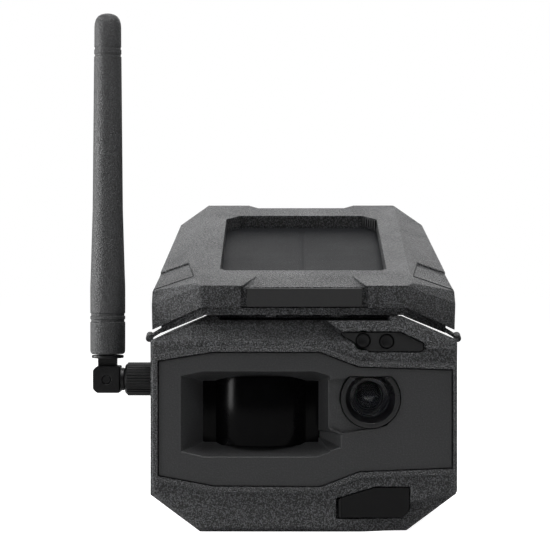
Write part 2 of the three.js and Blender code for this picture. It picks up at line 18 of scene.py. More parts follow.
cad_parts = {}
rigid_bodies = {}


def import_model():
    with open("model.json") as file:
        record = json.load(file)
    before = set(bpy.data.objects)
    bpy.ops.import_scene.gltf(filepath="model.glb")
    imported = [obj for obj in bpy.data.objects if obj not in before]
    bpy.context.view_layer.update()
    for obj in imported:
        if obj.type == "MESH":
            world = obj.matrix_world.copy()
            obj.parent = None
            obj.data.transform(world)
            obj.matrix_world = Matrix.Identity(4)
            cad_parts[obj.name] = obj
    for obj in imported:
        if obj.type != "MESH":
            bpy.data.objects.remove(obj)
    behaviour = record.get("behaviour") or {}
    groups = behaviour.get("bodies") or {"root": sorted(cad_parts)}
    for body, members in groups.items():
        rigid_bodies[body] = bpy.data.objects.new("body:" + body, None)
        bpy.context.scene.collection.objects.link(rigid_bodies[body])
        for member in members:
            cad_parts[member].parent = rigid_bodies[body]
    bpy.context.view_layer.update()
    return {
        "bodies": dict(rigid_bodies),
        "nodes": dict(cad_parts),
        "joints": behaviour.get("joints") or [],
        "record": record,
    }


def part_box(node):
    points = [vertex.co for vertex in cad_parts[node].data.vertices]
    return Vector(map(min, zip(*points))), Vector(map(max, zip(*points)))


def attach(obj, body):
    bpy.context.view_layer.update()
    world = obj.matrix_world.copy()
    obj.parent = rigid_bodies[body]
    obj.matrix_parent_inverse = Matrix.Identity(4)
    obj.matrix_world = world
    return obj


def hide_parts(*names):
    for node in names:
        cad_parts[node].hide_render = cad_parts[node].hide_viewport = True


LOG = logging.getLogger("trail_camera")
MM = 0.001
WELD = 2e-6  # corners nearer than this, in metres, are one
ON_AXIS = 1e-9  # a smaller radius counts as the axis itself
ROUNDED_ANGLE = 20.0  # moulded edges sharper than this, in degrees, are rounded
SHARP_ANGLE = 40.0  # mouldings are shaded smoothly up to this angle
SMEAR_RANGE = (0.3, 0.7)  # the smear's values at the most polished and the dullest places
Point = tuple[float, float]
Triple = tuple[float, float, float]
Tree = bpy.types.NodeTree


class Along(Enum):
    """The axis that a turned piece is turned about."""

    X = Matrix.Rotation(math.radians(90), 4, "Y")
    Y = Matrix.Rotation(math.radians(-90), 4, "X")
    Z = Matrix.Identity(4)


# --- Shared shader groups -------------------------------------------------------------------------


def new_group(name: str, inputs: dict[str, float], outputs: Sequence[str]) -> Tree:
    """Make a shader group with float inputs and outputs.

    Args:
        name: The group's name.
        inputs: Each input's name and default value.
        outputs: The outputs' names.

    Returns:
        The empty group.
    """
    tree = bpy.data.node_groups.new(name, "ShaderNodeTree")
    for label, value in inputs.items():
        socket = tree.interface.new_socket(label, in_out="INPUT", socket_type="NodeSocketFloat")
        socket.default_value = value
    for label in outputs:
        tree.interface.new_socket(label, in_out="OUTPUT", socket_type="NodeSocketFloat")
    return tree


def node(tree: Tree, kind: str, **settings: object) -> bpy.types.Node:
    """Add a node and set its attributes, or its inputs where a name is an input's."""
    made = tree.nodes.new(kind)
    for key, value in settings.items():
        if hasattr(made, key):
            setattr(made, key, value)
        else:
            made.inputs[key.replace("_", " ").title()].default_value = value
    return made


def moulded_grain_and_glints(pitting: float = -0.45, glint_speck_range: Point = (0.47, 0.6)) -> Tree:
    """Build the spark-eroded grain of a moulded surface, with pale specks in its colour that are partly
    painted glints of that grain.

    Args:
        pitting: How much of the pits is added to the fine grain's height.
        glint_speck_range: The fine grain's values between which the pale specks fade in; these specks are
            partly painted glints.

    Returns:
        A group with a Scale input, and Height and Speck outputs; Speck lightens the colour in pale specks
        that are partly painted glints.
    """
    tree = new_group("moulded_grain_and_glints", {"Scale": 2400.0}, ("Height", "Glint Speck"))
    start = node(tree, "NodeGroupInput")
    end = node(tree, "NodeGroupOutput")
    place = node(tree, "ShaderNodeTexCoord")
    fine = node(tree, "ShaderNodeTexNoise", detail=3.0, roughness=0.65)
    pits = node(tree, "ShaderNodeTexVoronoi", feature="SMOOTH_F1")
    blend = node(tree, "ShaderNodeMath", operation="MULTIPLY_ADD")
    # Pale specks where the fine grain is high: partly painted glints of the grain, not only its tone.
    glint_speck = node(tree, "ShaderNodeMapRange")
    glint_speck.inputs["From Min"].default_value, glint_speck.inputs["From Max"].default_value = glint_speck_range
    for texture in (fine, pits):
        tree.links.new(place.outputs["Object"], texture.inputs["Vector"])
        tree.links.new(start.outputs["Scale"], texture.inputs["Scale"])
    blend.inputs[1].default_value = pitting
    tree.links.new(pits.outputs["Distance"], blend.inputs[0])
    tree.links.new(fine.outputs["Fac"], blend.inputs[2])
    tree.links.new(fine.outputs["Fac"], glint_speck.inputs["Value"])
    tree.links.new(blend.outputs[0], end.inputs["Height"])
    tree.links.new(glint_speck.outputs["Result"], end.inputs["Glint Speck"])
    return tree


def handling() -> Tree:
    """Build the faint smears and dust that change how a surface shines.

    Returns:
        A group with a Scale input and a Smear output.
    """
    tree = new_group("handling", {"Scale": 35.0}, ("Smear",))
    start = node(tree, "NodeGroupInput")
    end = node(tree, "NodeGroupOutput")
    place = node(tree, "ShaderNodeTexCoord")
    cloud = node(tree, "ShaderNodeTexNoise", detail=4.0, roughness=0.6, distortion=0.6)
    tree.links.new(place.outputs["Object"], cloud.inputs["Vector"])
    tree.links.new(start.outputs["Scale"], cloud.inputs["Scale"])
    tree.links.new(cloud.outputs["Fac"], end.inputs["Smear"])
    return tree


class Workshop:
    """Holds the shared groups, made once."""

    def __init__(self) -> None:
        """Build the groups."""
        # The grain group gives the bump, and pale specks that are partly painted glints.
        self.grain = moulded_grain_and_glints()
        self.smear = handling()


# --- Finishes -------------------------------------------------------------------------------------


@dataclass(frozen=True)
class Finish:
    """A moulded, rubbed or turned finish.

    Attributes:
        name: The material's name.
        tone: Its linear colour.
        lift: How much lighter its specks are, as a factor; the pale specks are partly painted glints of the
            grain.
        rough: Roughness at its most polished and at its dullest.
        grain: The grain's scale, per metre.
        depth: The grain's depth in metres.
        metallic: One for a metal.
        coat: The weight of a clear coat.
        specular: The specular level.
        slot: The record's material slot, where it isn't the name. Not used.
    """

    name: str
    tone: Triple
    lift: float = 1.5
    rough: Point = (0.5, 0.65)
    grain: float = 2400.0
    depth: float = 0.00004
    metallic: float = 0.0
    coat: float = 0.0
    specular: float = 0.5
    slot: str = ""

    def material(self, shop: Workshop) -> bpy.types.Material:
        """Build the material from the shared groups.

        Args:
            shop: The shared groups.

        Returns:
            The finished material.
        """
        made = bpy.data.materials.new(self.name)
        made.use_nodes = True
        tree = made.node_tree
        shader = tree.nodes["Principled BSDF"]
        grain = node(tree, "ShaderNodeGroup", node_tree=shop.grain)
        grain.inputs["Scale"].default_value = self.grain
        smear = node(tree, "ShaderNodeGroup", node_tree=shop.smear)
        # Lightens the tone in pale specks: partly painted glints of the grain.
        colours = node(tree, "ShaderNodeMix", data_type="RGBA")
        colours.inputs["A"].default_value = (*self.tone, 1.0)
        colours.inputs["B"].default_value = (*(min(1.0, c * self.lift) for c in self.tone), 1.0)
        tree.links.new(grain.outputs["Glint Speck"], colours.inputs["Factor"])
        tree.links.new(colours.outputs["Result"], shader.inputs["Base Color"])
        shine = node(tree, "ShaderNodeMapRange")
        shine.inputs["From Min"].default_value, shine.inputs["From Max"].default_value = SMEAR_RANGE
        shine.inputs["To Min"].default_value, shine.inputs["To Max"].default_value = self.rough
        tree.links.new(smear.outputs["Smear"], shine.inputs["Value"])
        tree.links.new(shine.outputs["Result"], shader.inputs["Roughness"])
        if self.depth:
            bump = node(tree, "ShaderNodeBump")
            bump.inputs["Strength"].default_value = 1.0
            bump.inputs["Distance"].default_value = self.depth
            tree.links.new(grain.outputs["Height"], bump.inputs["Height"])
            tree.links.new(bump.outputs["Normal"], shader.inputs["Normal"])
        shader.inputs["Metallic"].default_value = self.metallic
        shader.inputs["Coat Weight"].default_value = self.coat
        shader.inputs["Specular IOR Level"].default_value = self.specular
        return made


@dataclass(frozen=True)
class ClearFinish(Finish):
    """A clear sheet or lens, see-through by its alpha."""

    alpha: float = 0.3

    def material(self, shop: Workshop) -> bpy.types.Material:
        """Build the material, then let light through it."""
        made = super().material(shop)
        made.node_tree.nodes["Principled BSDF"].inputs["Alpha"].default_value = self.alpha
        return made


@dataclass(frozen=True)
class CellFinish(Finish):
    """Silicon cells with faint lines drawn across them."""

    lines: float = 260.0

    def material(self, shop: Workshop) -> bpy.types.Material:
        """Build the material, then draw the lines across it."""
        made = super().material(shop)
        tree = made.node_tree
        shader = tree.nodes["Principled BSDF"]
        place = node(tree, "ShaderNodeTexCoord")
        lines = node(tree, "ShaderNodeTexWave", bands_direction="Y", wave_profile="SIN")
        lines.inputs["Scale"].default_value = self.lines
        tree.links.new(place.outputs["Object"], lines.inputs["Vector"])
        mix = node(tree, "ShaderNodeMix", data_type="RGBA", blend_type="MIX")
        mix.inputs["A"].default_value = (*self.tone, 1.0)
        mix.inputs["B"].default_value = (*(c * self.lift for c in self.tone), 1.0)
        tree.links.new(lines.outputs["Fac"], mix.inputs["Factor"])
        tree.links.new(mix.outputs["Result"], shader.inputs["Base Color"])
        return made


class Slot(Enum):
    """The record's material slots, each with its finish."""

    # Its lift of 17 makes the pale specks bright: painted glints of the spark-eroded grain.
    TEXTURED = Finish("textured_plastic", (0.0075, 0.0077, 0.0081), 17.0, (0.36, 0.55), 2100.0, 0.0012)
    SATIN = Finish("satin_plastic", (0.019, 0.0193, 0.0202), 1.5, (0.42, 0.52), 2000.0, 0.00008)
    PLATE = Finish(
        "dark_satin", (0.006, 0.0061, 0.0065), 1.3, (0.4, 0.5), 2000.0,
        0.00004, specular=0.4, slot="satin_plastic",
    )
    ANTENNA = Finish(
        "antenna_plastic", (0.003, 0.003, 0.0033), 1.5, (0.34, 0.44), 2600.0, 0.00003, specular=0.25,
    )
    WHIP = Finish("whip_rubber", (0.018, 0.0184, 0.0192), 2.4, (0.42, 0.54), 2000.0, 0.0003)
    WINDOW = Finish("dark_window", (0.0015, 0.0015, 0.0017), 1.2, (0.14, 0.2), 300.0, 0.0, specular=0.05)
    BLACK = Finish(
        "lens_black", (0.004, 0.004, 0.0045), 1.2, (0.25, 0.35), 300.0, 0.0, slot="satin_plastic",
    )
    LENS = ClearFinish("lens_glass", (0.006, 0.008, 0.014), 1.2, (0.02, 0.05), 300.0, 0.0, alpha=0.12)
    DOME = Finish(
        "lens_dome", (0.003, 0.004, 0.008), 1.2, (0.03, 0.06), 300.0, 0.0, coat=0.6, slot="lens_glass",
    )
    SOLAR_GLASS = ClearFinish(
        "solar_glass", (0.02, 0.021, 0.023), 1.1, (0.4, 0.5), 600.0, 0.0, alpha=0.12, specular=0.04,
    )
    CELL = CellFinish("solar_cell", (0.007, 0.0072, 0.008), 2.6, (0.5, 0.6), 900.0, 0.00002, specular=0.08)
    RUBBER = Finish("soft_rubber", (0.003, 0.003, 0.0033), 1.3, (0.5, 0.62), 2000.0, 0.00003, specular=0.2)
    BOARD = Finish("board", (0.02, 0.1, 0.045), 1.6, (0.3, 0.45), 700.0, 0.00002, coat=0.3)
    COMPONENT = Finish("component_plastic", (0.02, 0.021, 0.024), 1.4, (0.4, 0.55), 2000.0, 0.00003)
    CARD = Finish("card_plastic", (0.68, 0.68, 0.66), 0.9, (0.3, 0.4), 900.0, 0.00001)
    BATTERY = Finish("battery_wrap", (0.03, 0.09, 0.24), 1.2, (0.25, 0.4), 500.0, 0.00004, coat=0.3)
    STEEL = Finish("steel", (0.42, 0.43, 0.44), 1.15, (0.25, 0.4), 1800.0, 0.00002, metallic=1.0)
    BRASS = Finish("brass", (0.55, 0.4, 0.17), 1.15, (0.25, 0.38), 1800.0, 0.00002, metallic=1.0)


class Dresser:
    """Gives pieces their material and body, and hides the CAD nodes they stand for."""

    def __init__(self, frame: dict) -> None:
        """Keep the frame and make each finish's material once.
        """
        self.frame = frame
        shop = Workshop()
        self.materials = {slot: slot.value.material(shop) for slot in Slot}

    def body_of(self, cad: str) -> str:
        """Return the name of the body that a CAD node is on."""
        bodies = self.frame["record"]["behaviour"]["bodies"]
        return next(body for body, nodes in bodies.items() if cad in nodes)

    def piece(self, made: bpy.types.Object, slot: Slot, body: str, stands_for: Sequence[str] = ()) -> None:
        """Dress a new piece and put it on its body.

        Args:
            made: The piece.
            slot: Its finish.
            body: The body it rides on.
            stands_for: CAD nodes that it replaces.
        """
        made.data.materials.clear()
        made.data.materials.append(self.materials[slot])
        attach(made, body)
        if stands_for:
            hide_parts(*stands_for)
        LOG.info("%s on %s, %d faces", made.name, body, len(made.data.polygons))

    def cad(self, slot: Slot, *names: str) -> None:
        """Give CAD nodes that stay as they are a better material."""
        for name in names:
            mesh = self.frame["nodes"][name].data
            mesh.materials.clear()
            mesh.materials.append(self.materials[slot])


# --- Mesh helpers ---------------------------------------------------------------------------------


def new_object(name: str, mesh: bpy.types.Mesh) -> bpy.types.Object:
    """Link a mesh into the scene under its name, at the origin."""
    made = bpy.data.objects.new(name, mesh)
    bpy.context.scene.collection.objects.link(made)
    return made


def baked(made: bpy.types.Object) -> bpy.types.Object:
    """Turn an object's modifiers into its plain mesh and remove them."""
    graph = bpy.context.evaluated_depsgraph_get()
    mesh = bpy.data.meshes.new_from_object(made.evaluated_get(graph))
    made.modifiers.clear()
    made.data = mesh
    return made


def smooth(made: bpy.types.Object, angle: float = 28.0) -> bpy.types.Object:
    """Shade smoothly everywhere but on edges sharper than an angle in degrees."""
    made.data.shade_smooth()
    shape = bmesh.new()
    shape.from_mesh(made.data)
    for edge in shape.edges:
        edge.smooth = not edge.is_manifold or edge.calc_face_angle(0.0) < math.radians(angle)
    shape.to_mesh(made.data)
    shape.free()
    return made


def refined(source: bpy.types.Object, name: str, width: float, segments: int = 2) -> bpy.types.Object:
    """Copy a CAD node's mesh and round its moulded edges, keeping its flat faces flat.

    Args:
        source: The CAD node.
        name: The new piece's name.
        width: How wide the rounding is, in metres.
        segments: How many faces each rounding has.

    Returns:
        The new piece.
    """
    shape = bmesh.new()
    shape.from_mesh(source.data)
    bmesh.ops.remove_doubles(shape, verts=shape.verts, dist=WELD)
    mesh = bpy.data.meshes.new(name)
    shape.to_mesh(mesh)
    shape.free()
    made = new_object(name, mesh)
    if width:
        rounding = made.modifiers.new("rounding", "BEVEL")
        rounding.width = width
        rounding.segments = segments
        rounding.limit_method = "ANGLE"
        rounding.angle_limit = math.radians(ROUNDED_ANGLE)
        rounding.use_clamp_overlap = False
        baked(made)
    smooth(made, SHARP_ANGLE)
    made.modifiers.new("flat_faces", "WEIGHTED_NORMAL").keep_sharp = True
    return baked(made)


def turned(
    name: str, profile: Sequence[Point], centre: Sequence[float], along: Along, sides: int = 64,
) -> bpy.types.Object:
    """Turn a closed profile about an axis.

    Args:
        name: The new piece's name.
        profile: Radius and place along the axis of each corner, in metres. One that doesn't start and end
            on the axis closes on itself.
        centre: A point on the axis.
        along: The axis.
        sides: How many faces go round.

    Returns:
        The new piece.
    """
    loop = list(profile)
    on_axis = loop[0][0] < ON_AXIS and loop[-1][0] < ON_AXIS
    shape = bmesh.new()
    rings = []
    for radius, height in loop:
        if radius < ON_AXIS:
            rings.append([shape.verts.new((0, 0, height))] * sides)
            continue
        angles = (2 * math.pi * i / sides for i in range(sides))
        rings.append([shape.verts.new((radius * math.cos(a), radius * math.sin(a), height)) for a in angles])
    pairs = list(zip(rings, rings[1:]))
    if not on_axis:
        pairs.append((rings[-1], rings[0]))
    for low, high in pairs:
        for i in range(sides):
            corners = [low[i], low[(i + 1) % sides], high[(i + 1) % sides], high[i]]
            unique = list(dict.fromkeys(corners))
            if len(unique) > 2:
                shape.faces.new(unique)
    bmesh.ops.recalc_face_normals(shape, faces=shape.faces)
    shape.transform(Matrix.Translation(Vector(centre)) @ along.value)
    mesh = bpy.data.meshes.new(name)
    shape.to_mesh(mesh)
    shape.free()
    return smooth(new_object(name, mesh))


def middle_of(cad: str) -> Vector:
    """Return the middle of a CAD node's box."""
    low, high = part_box(cad)
    return (Vector(low) + Vector(high)) / 2


# --- Geometry Nodes -------------------------------------------------------------------------------


def repeat_tree(name: str, inputs: dict[str, tuple[str, object]], build: Callable[..., object]) -> Tree:
    """Make a Geometry Nodes tree that ends in Realize Instances and Set Material.

    Args:
        name: The tree's name.
        inputs: Each named input's socket type and default.
        build: Adds the nodes and returns the geometry socket to finish.

    Returns:
        The tree.
    """
    tree = bpy.data.node_groups.new(name, "GeometryNodeTree")
    for label, (kind, value) in inputs.items():
        socket = tree.interface.new_socket(label, in_out="INPUT", socket_type=kind)
        if value is not None:
            socket.default_value = value
    tree.interface.new_socket("Material", in_out="INPUT", socket_type="NodeSocketMaterial")
    tree.interface.new_socket("Geometry", in_out="OUTPUT", socket_type="NodeSocketGeometry")
    start = node(tree, "NodeGroupInput")
    end = node(tree, "NodeGroupOutput")
    realize = node(tree, "GeometryNodeRealizeInstances")
    paint = node(tree, "GeometryNodeSetMaterial")
    tree.links.new(build(tree, start), realize.inputs[0])
    tree.links.new(realize.outputs[0], paint.inputs["Geometry"])
    tree.links.new(start.outputs["Material"], paint.inputs["Material"])
    tree.links.new(paint.outputs[0], end.inputs[0])
    return tree


def grown(name: str, tree: Tree, values: dict[str, object], place: Matrix) -> bpy.types.Object:
    """Run a tree with its inputs set, and return the result as a plain mesh moved into place."""
    made = new_object(name, bpy.data.meshes.new(name))
    maker = made.modifiers.new("maker", "NODES")
    maker.node_group = tree
    for item in tree.interface.items_tree:
        if item.in_out == "INPUT" and item.name in values:
            maker[item.identifier] = values[item.name]
    baked(made)
    made.data.transform(place)
    return smooth(made)


def ring_of_ridges(sides: int = 8) -> Tree:
    """Build round ridges of so many sides, standing round a cylinder that lies along Z."""

    def build(tree: Tree, start: bpy.types.Node) -> object:
        ring = node(tree, "GeometryNodeMeshCircle", fill_type="NONE")
        ridge = node(tree, "GeometryNodeMeshCylinder")
        ridge.inputs["Vertices"].default_value = sides
        spots = node(tree, "GeometryNodeInstanceOnPoints")
        tree.links.new(start.outputs["Count"], ring.inputs["Vertices"])
        tree.links.new(start.outputs["Ring Radius"], ring.inputs["Radius"])
        tree.links.new(start.outputs["Ridge Radius"], ridge.inputs["Radius"])
        tree.links.new(start.outputs["Length"], ridge.inputs["Depth"])
        tree.links.new(ring.outputs["Mesh"], spots.inputs["Points"])
        tree.links.new(ridge.outputs["Mesh"], spots.inputs["Instance"])
        return spots.outputs[0]

    inputs = {
        "Count": ("NodeSocketInt", 28),
        "Ring Radius": ("NodeSocketFloat", 0.005),
        "Ridge Radius": ("NodeSocketFloat", 0.0005),
        "Length": ("NodeSocketFloat", 0.008),
    }
    return repeat_tree("ring_of_ridges", inputs, build)


def row_of_bars() -> Tree:
    """Build equal bars laid side by side along Y, each along X."""

    def build(tree: Tree, start: bpy.types.Node) -> object:
        line = node(tree, "GeometryNodeMeshLine", mode="OFFSET")
        step = node(tree, "ShaderNodeCombineXYZ")
        bar = node(tree, "GeometryNodeMeshCube")
        spots = node(tree, "GeometryNodeInstanceOnPoints")
        tree.links.new(start.outputs["Count"], line.inputs["Count"])
        tree.links.new(start.outputs["Pitch"], step.inputs["Y"])
        tree.links.new(step.outputs[0], line.inputs["Offset"])
        tree.links.new(start.outputs["Bar Size"], bar.inputs["Size"])
        tree.links.new(line.outputs["Mesh"], spots.inputs["Points"])
        tree.links.new(bar.outputs["Mesh"], spots.inputs["Instance"])
        return spots.outputs[0]

    inputs = {
        "Count": ("NodeSocketInt", 10),
        "Pitch": ("NodeSocketFloat", 0.001),
        "Bar Size": ("NodeSocketVector", (0.01, 0.0002, 0.0001)),
    }
    return repeat_tree("row_of_bars", inputs, build)


# --- Sub-assemblies -------------------------------------------------------------------------------


@dataclass
class Casing:
    """The body's mouldings: front frame, bezel, rear housing, port cover and their fixings."""

    frame_edge: float = 0.25 * MM
    bezel_edge: float = 0.2 * MM
    housing_edge: float = 0.3 * MM
    flap_edge: float = 0.125 * MM

    def build(self, dress: Dresser) -> None:
        """Round the mouldings' edges and dress them.

        Args:
            dress: Gives the pieces their finish.
        """
        nodes = dress.frame["nodes"]
        plan = (
            ("front_frame", "front_frame_moulding", self.frame_edge, Slot.TEXTURED),
            ("front_bezel", "front_bezel_moulding", self.bezel_edge, Slot.SATIN),
            ("rear_housing", "rear_housing_moulding", self.housing_edge, Slot.TEXTURED),
            ("port_flap", "port_flap_cover", self.flap_edge, Slot.RUBBER),
        )
        for cad, name, width, slot in plan:
            made = refined(nodes[cad], name, width)
            dress.piece(made, slot, dress.body_of(cad), (cad,))
        dress.cad(Slot.RUBBER, "body_gasket", "neck_gasket")
        dress.cad(Slot.STEEL, "port_flap_pin", "hinge_pin", *(f"body_screw_{i}" for i in range(1, 5)))
        dress.cad(Slot.BRASS, "bottom_insert", "back_insert")


@dataclass
class Eyes:
    """The sensor window, the lens and what stands behind them.

    Attributes:
        barrel_steps: The lens tube's radius and depth at each corner, in millimetres.
        dome: The front glass's radius and depth from its foot to its tip, in millimetres.
        bulge: The window bulge's middle, front, radius and half width, in millimetres.
        plate: The window plate's left, right and front, in millimetres.
        heights: The window's foot and top, in millimetres.
        walls: How thick the window is at its plate and at its bulge, in millimetres.
        rim: How wide the window's rounded rim is, in millimetres.
        facets: How many faces the bulge has.
        hood_edge: How wide the lens ring's rounded edges are, in metres.
    """

    barrel_steps: tuple[Point, ...] = (
        (6.9, -43.0), (6.3, -43.0), (6.1, -38.4), (5.2, -38.2), (5.0, -37.2), (4.4, -37.0), (4.4, -35.7),
        (6.9, -35.7),
    )
    dome: tuple[Point, ...] = (
        (0.0, -36.9), (4.2, -36.9), (4.2, -38.0), (3.6, -39.0), (2.6, -39.8), (1.4, -40.25), (0.0, -40.4),
    )
    bulge: tuple[float, float, float, float] = (-14.2, -46.0, 20.0, 14.9)
    plate: Triple = (-33.6, 5.2, -39.1)
    heights: Point = (27.4, 50.2)
    walls: Point = (1.2, 1.6)
    rim: float = 0.2
    facets: int = 48
    hood_edge: float = 0.1 * MM

    def build(self, dress: Dresser) -> None:
        """Build the deep lens and dress the window.

        Args:
            dress: Gives the pieces their finish.
        """
        nodes = dress.frame["nodes"]
        body = dress.body_of("front_frame")
        dress.piece(self.window(), Slot.WINDOW, body, ("sensor_window",))
        ring = refined(nodes["lens_hood_ring"], "lens_hood", self.hood_edge)
        dress.piece(ring, Slot.BLACK, body, ("lens_hood_ring",))
        axis = middle_of("lens_barrel")
        centre = (axis.x, 0.0, axis.z)
        steps = [(r * MM, y * MM) for r, y in self.barrel_steps]
        dress.piece(turned("lens_tube", steps, centre, Along.Y, 72), Slot.BLACK, body, ("lens_barrel",))
        dome = [(r * MM, y * MM) for r, y in self.dome]
        dress.piece(turned("lens_dome", dome, centre, Along.Y, 48), Slot.DOME, body, ("lens_front_element",))
        dress.cad(Slot.LENS, "lens_cover_glass", *(f"ir_led_{i}" for i in range(1, 5)))
        dress.cad(Slot.STEEL, "pir_sensor")
        dress.cad(Slot.BOARD, "led_board", "camera_board")
        dress.cad(Slot.COMPONENT, "image_sensor")

    def window(self) -> bpy.types.Object:
        """Build the black window as one shell: a plate across the recess with an upright bulge in it."""
        x, front, radius, half = self.bulge
        left, right, back = self.plate
        plate_wall, bulge_wall = self.walls
        edge = math.asin(half / radius)
        angles = [edge * (2 * i / self.facets - 1) for i in range(self.facets + 1)]
        arc = [(x + radius * math.sin(a), front + radius * (1 - math.cos(a))) for a in angles]
        outline = [(left, back), *arc, (right, back), (right, back + plate_wall)]
        outline += [(px, py + bulge_wall) for px, py in reversed(arc)] + [(left, back + plate_wall)]
        shape = bmesh.new()
        rings = [[shape.verts.new((px * MM, py * MM, z * MM)) for px, py in outline] for z in self.heights]
        count = len(outline)
        for i in range(count):
            shape.faces.new((rings[0][i], rings[0][(i + 1) % count], rings[1][(i + 1) % count], rings[1][i]))
        for ring in rings:
            for i in range(count // 2 - 1):
                shape.faces.new((ring[i], ring[i + 1], ring[count - 2 - i], ring[count - 1 - i]))
        bmesh.ops.recalc_face_normals(shape, faces=shape.faces)
        rim = [e for e in shape.edges if e.is_manifold and e.calc_face_angle(0.0) > math.radians(60)]
        bmesh.ops.bevel(shape, geom=rim, offset=self.rim * MM, segments=2, profile=0.5, affect="EDGES")
        mesh = bpy.data.meshes.new("sensor_window_cover")
        shape.to_mesh(mesh)
        shape.free()
        return smooth(new_object("sensor_window_cover", mesh))


@dataclass
class ButtonPod:
    """The recessed panel under the brow, with its two press buttons.

    Attributes:
        cap: The dished button's radius and depth behind its front at each corner, in millimetres.
        panel_edge: How wide the panel's rounded edges are, in metres.
    """

    cap: tuple[Point, ...] = (
        (0.0, 0.35), (0.9, 0.3), (1.5, 0.1), (1.75, 0.0), (2.05, 0.08), (2.2, 0.35), (2.2, 2.2), (2.9, 2.25),
        (2.9, 3.0), (0.0, 3.0),
    )
    panel_edge: float = 0.15 * MM

    def build(self, dress: Dresser) -> None:
        """Build the dished buttons and dress the panel.

        Args:
            dress: Gives the pieces their finish.
        """
        panel = refined(dress.frame["nodes"]["button_panel"], "button_panel_plate", self.panel_edge)
        dress.piece(panel, Slot.PLATE, dress.body_of("button_panel"), ("button_panel",))
        for cad in ("power_button", "test_button"):
            low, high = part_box(cad)
            spot = middle_of(cad)
            profile = [(r * MM, low[1] + y * MM) for r, y in self.cap]
            cap = turned(f"{cad}_cap", profile, (spot.x, 0.0, spot.z), Along.Y, 40)
            dress.piece(cap, Slot.RUBBER, dress.body_of(cad), (cad,))
        dress.cad(Slot.COMPONENT, "button_switch_1", "button_switch_2", "port_socket")
        dress.cad(Slot.BOARD, "button_board")


@dataclass
class SolarHead:
    """The tilted head: shell, base plate, nameplate and the solar panel let into its top.

    Attributes:
        tilt: The head's slope, in radians.
        corner: Where the head's own frame starts, at the middle of its front edge.
        cell_top: The height of the cells' faces in that frame.
        window: The front and the back of the solar window.
        margin: What the lines leave free at each end of a cell.
        pitch: The step from one line to the next.
        line: A line's length, width and thickness.
        cell_offset: How far each cell's middle lies to its side.
        rib_start: Where the row of corner ribs starts.
        rib: A rib's length, width and height.
        rib_pitch: The step from one rib to the next.
        rib_count: How many ribs there are.
        shell_edge: How wide the shell's rounded edges are.
        plate_edge: How wide the rounded edges of the base and the nameplate are.
    """

    tilt: float = math.atan(0.303)
    corner: Triple = (0.0, -50.0 * MM, 80.4 * MM)
    cell_top: float = -4.6 * MM
    window: Point = (17.65 * MM, 88.6 * MM)
    margin: float = 4 * MM
    pitch: float = 1.45 * MM
    line: Triple = (24.8 * MM, 0.12 * MM, 0.02 * MM)
    cell_offset: float = 13.6 * MM
    rib_start: Triple = (27.4 * MM, 83.7 * MM, -2.1 * MM)
    rib: Triple = (0.6 * MM, 0.55 * MM, 3.1 * MM)
    rib_pitch: float = 1.15 * MM
    rib_count: int = 6
    shell_edge: float = 0.3 * MM
    plate_edge: float = 0.2 * MM

    def place(self) -> Matrix:
        """Return the matrix from the head's own frame to the row's."""
        return Matrix.Translation(self.corner) @ Matrix.Rotation(self.tilt, 4, "X")

    def build(self, dress: Dresser) -> None:
        """Round the shell, lay the cells' grid and build the ribs in the window's corner.

        Args:
            dress: Gives the pieces their finish.
        """
        nodes = dress.frame["nodes"]
        body = dress.body_of("head_shell")
        plan = (
            ("head_shell", "head_shell_moulding", self.shell_edge, Slot.TEXTURED),
            ("head_base", "head_base_moulding", self.plate_edge, Slot.TEXTURED),
            ("nameplate", "blank_nameplate", self.plate_edge, Slot.PLATE),
        )
        for cad, name, width, slot in plan:
            dress.piece(refined(nodes[cad], name, width), slot, body, (cad,))
        dress.cad(Slot.SOLAR_GLASS, "solar_cover")
        dress.cad(Slot.CELL, "solar_cell_left", "solar_cell_right", "solar_backing")
        dress.cad(Slot.BOARD, "charge_board")
        dress.cad(Slot.STEEL, *(f"head_screw_{i}" for i in range(1, 5)))
        self.grid(dress, body)
        self.corner_ribs(dress, body)

    def grid(self, dress: Dresser, body: str) -> None:
        """Lay the fine silver lines across both cells."""
        tree = row_of_bars()
        front, back = self.window
        count = int((back - front - 2 * self.margin) / self.pitch)
        lift = self.line[2]
        for side, name in ((-1, "cell_lines_left"), (1, "cell_lines_right")):
            values = {
                "Count": count,
                "Pitch": self.pitch,
                "Bar Size": self.line,
                "Material": dress.materials[Slot.SATIN],
            }
            spot = Matrix.Translation((side * self.cell_offset, front + self.margin, self.cell_top + lift))
            made = grown(name, tree, values, self.place() @ spot)
            dress.piece(made, Slot.SATIN, body)

    def corner_ribs(self, dress: Dresser, body: str) -> None:
        """Build the upright ribs on the window's bevelled back right corner."""
        values = {
            "Count": self.rib_count,
            "Pitch": self.rib_pitch,
            "Bar Size": self.rib,
            "Material": dress.materials[Slot.SATIN],
        }
        spot = Matrix.Translation(self.rib_start) @ Matrix.Rotation(math.radians(45), 4, "Z")
        dress.piece(grown("corner_ribs", row_of_bars(), values, self.place() @ spot), Slot.SATIN, body)


